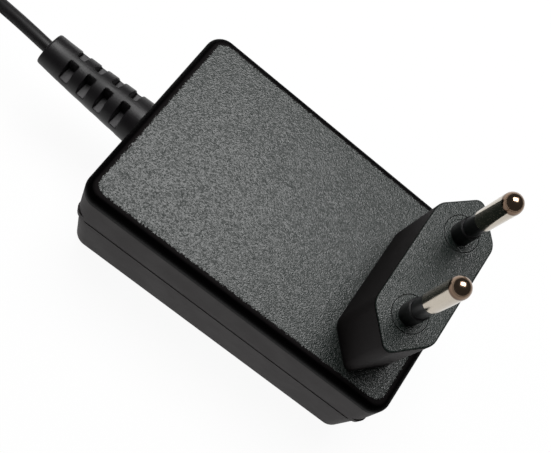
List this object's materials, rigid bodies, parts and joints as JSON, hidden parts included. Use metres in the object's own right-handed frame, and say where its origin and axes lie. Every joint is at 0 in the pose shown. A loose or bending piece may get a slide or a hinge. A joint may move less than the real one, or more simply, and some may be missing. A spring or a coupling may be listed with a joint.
{
  "type": "power adapter",
  "caption": "plug-in power adapter: two-shell housing with a hexagonal two-pin mains plug block, moulded strain relief, thin DC cord and barrel plug",
  "frame": {"origin": "Middle of the housing's flat back face, which the adapter lies on.", "axes": "+Z points out of the front face along the contact pins. +X points towards the end that carries the pins, and the cord leaves towards -X. +Y completes a right-handed frame along the housing's width."},
  "size_m": [0.1665, 0.0491, 0.0661],
  "materials": {
    "housing": "black flame-retardant plastic, spark-eroded texture on the front face, smooth edge and walls",
    "bush": "fine matt black moulding",
    "sleeve": "smooth black insulating sleeve",
    "pin_metal": "polished nickel plating on brass",
    "relief": "satin black flexible vinyl",
    "cord": "satin black vinyl jacket",
    "tie": "black strap",
    "board": "tan laminate circuit board",
    "lead_dark": "black wire insulation",
    "lead_red": "red wire insulation",
    "ceramic": "dull blue coating",
    "package": "matt black moulding compound",
    "ferrite": "dark grey sintered ferrite",
    "can": "dark shrink sleeve",
    "resistor": "beige lacquer",
    "winding_tape": "yellow polyester tape",
    "barrier": "thin white insulating sheet"
  },
  "bodies": {
    "root": {"front_cover": "housing", "rear_cover": "housing", "pin_bush_a": "bush", "pin_bush_b": "bush", "pin_sleeve_a": "sleeve", "pin_sleeve_b": "sleeve", "contact_pin_a": "pin_metal", "contact_pin_b": "pin_metal", "strain_relief": "relief", "output_cord": "cord", "cord_coil": "cord", "cord_tail": "cord", "cord_tie": "tie", "plug_grip": "relief", "plug_contact": "pin_metal", "plug_insulator": "bush", "plug_spring": "pin_metal", "circuit_board": "board", "mains_lead_a": "lead_dark", "mains_lead_b": "lead_dark", "output_lead_a": "lead_red", "output_lead_b": "lead_dark", "fuse_resistor": "ceramic", "bridge_rectifier": "package", "power_switch": "package", "optocoupler": "package", "output_diode": "package", "input_choke": "ferrite", "output_choke": "ferrite", "input_capacitor_a": "can", "input_capacitor_b": "can", "output_capacitor_a": "can", "output_capacitor_b": "can", "interference_capacitor": "ceramic", "resistors": "resistor", "transformer_core_a": "ferrite", "transformer_core_b": "ferrite", "transformer_bobbin": "bush", "transformer_winding": "winding_tape", "insulation_barrier": "barrier"}
  },
  "joints": []
}
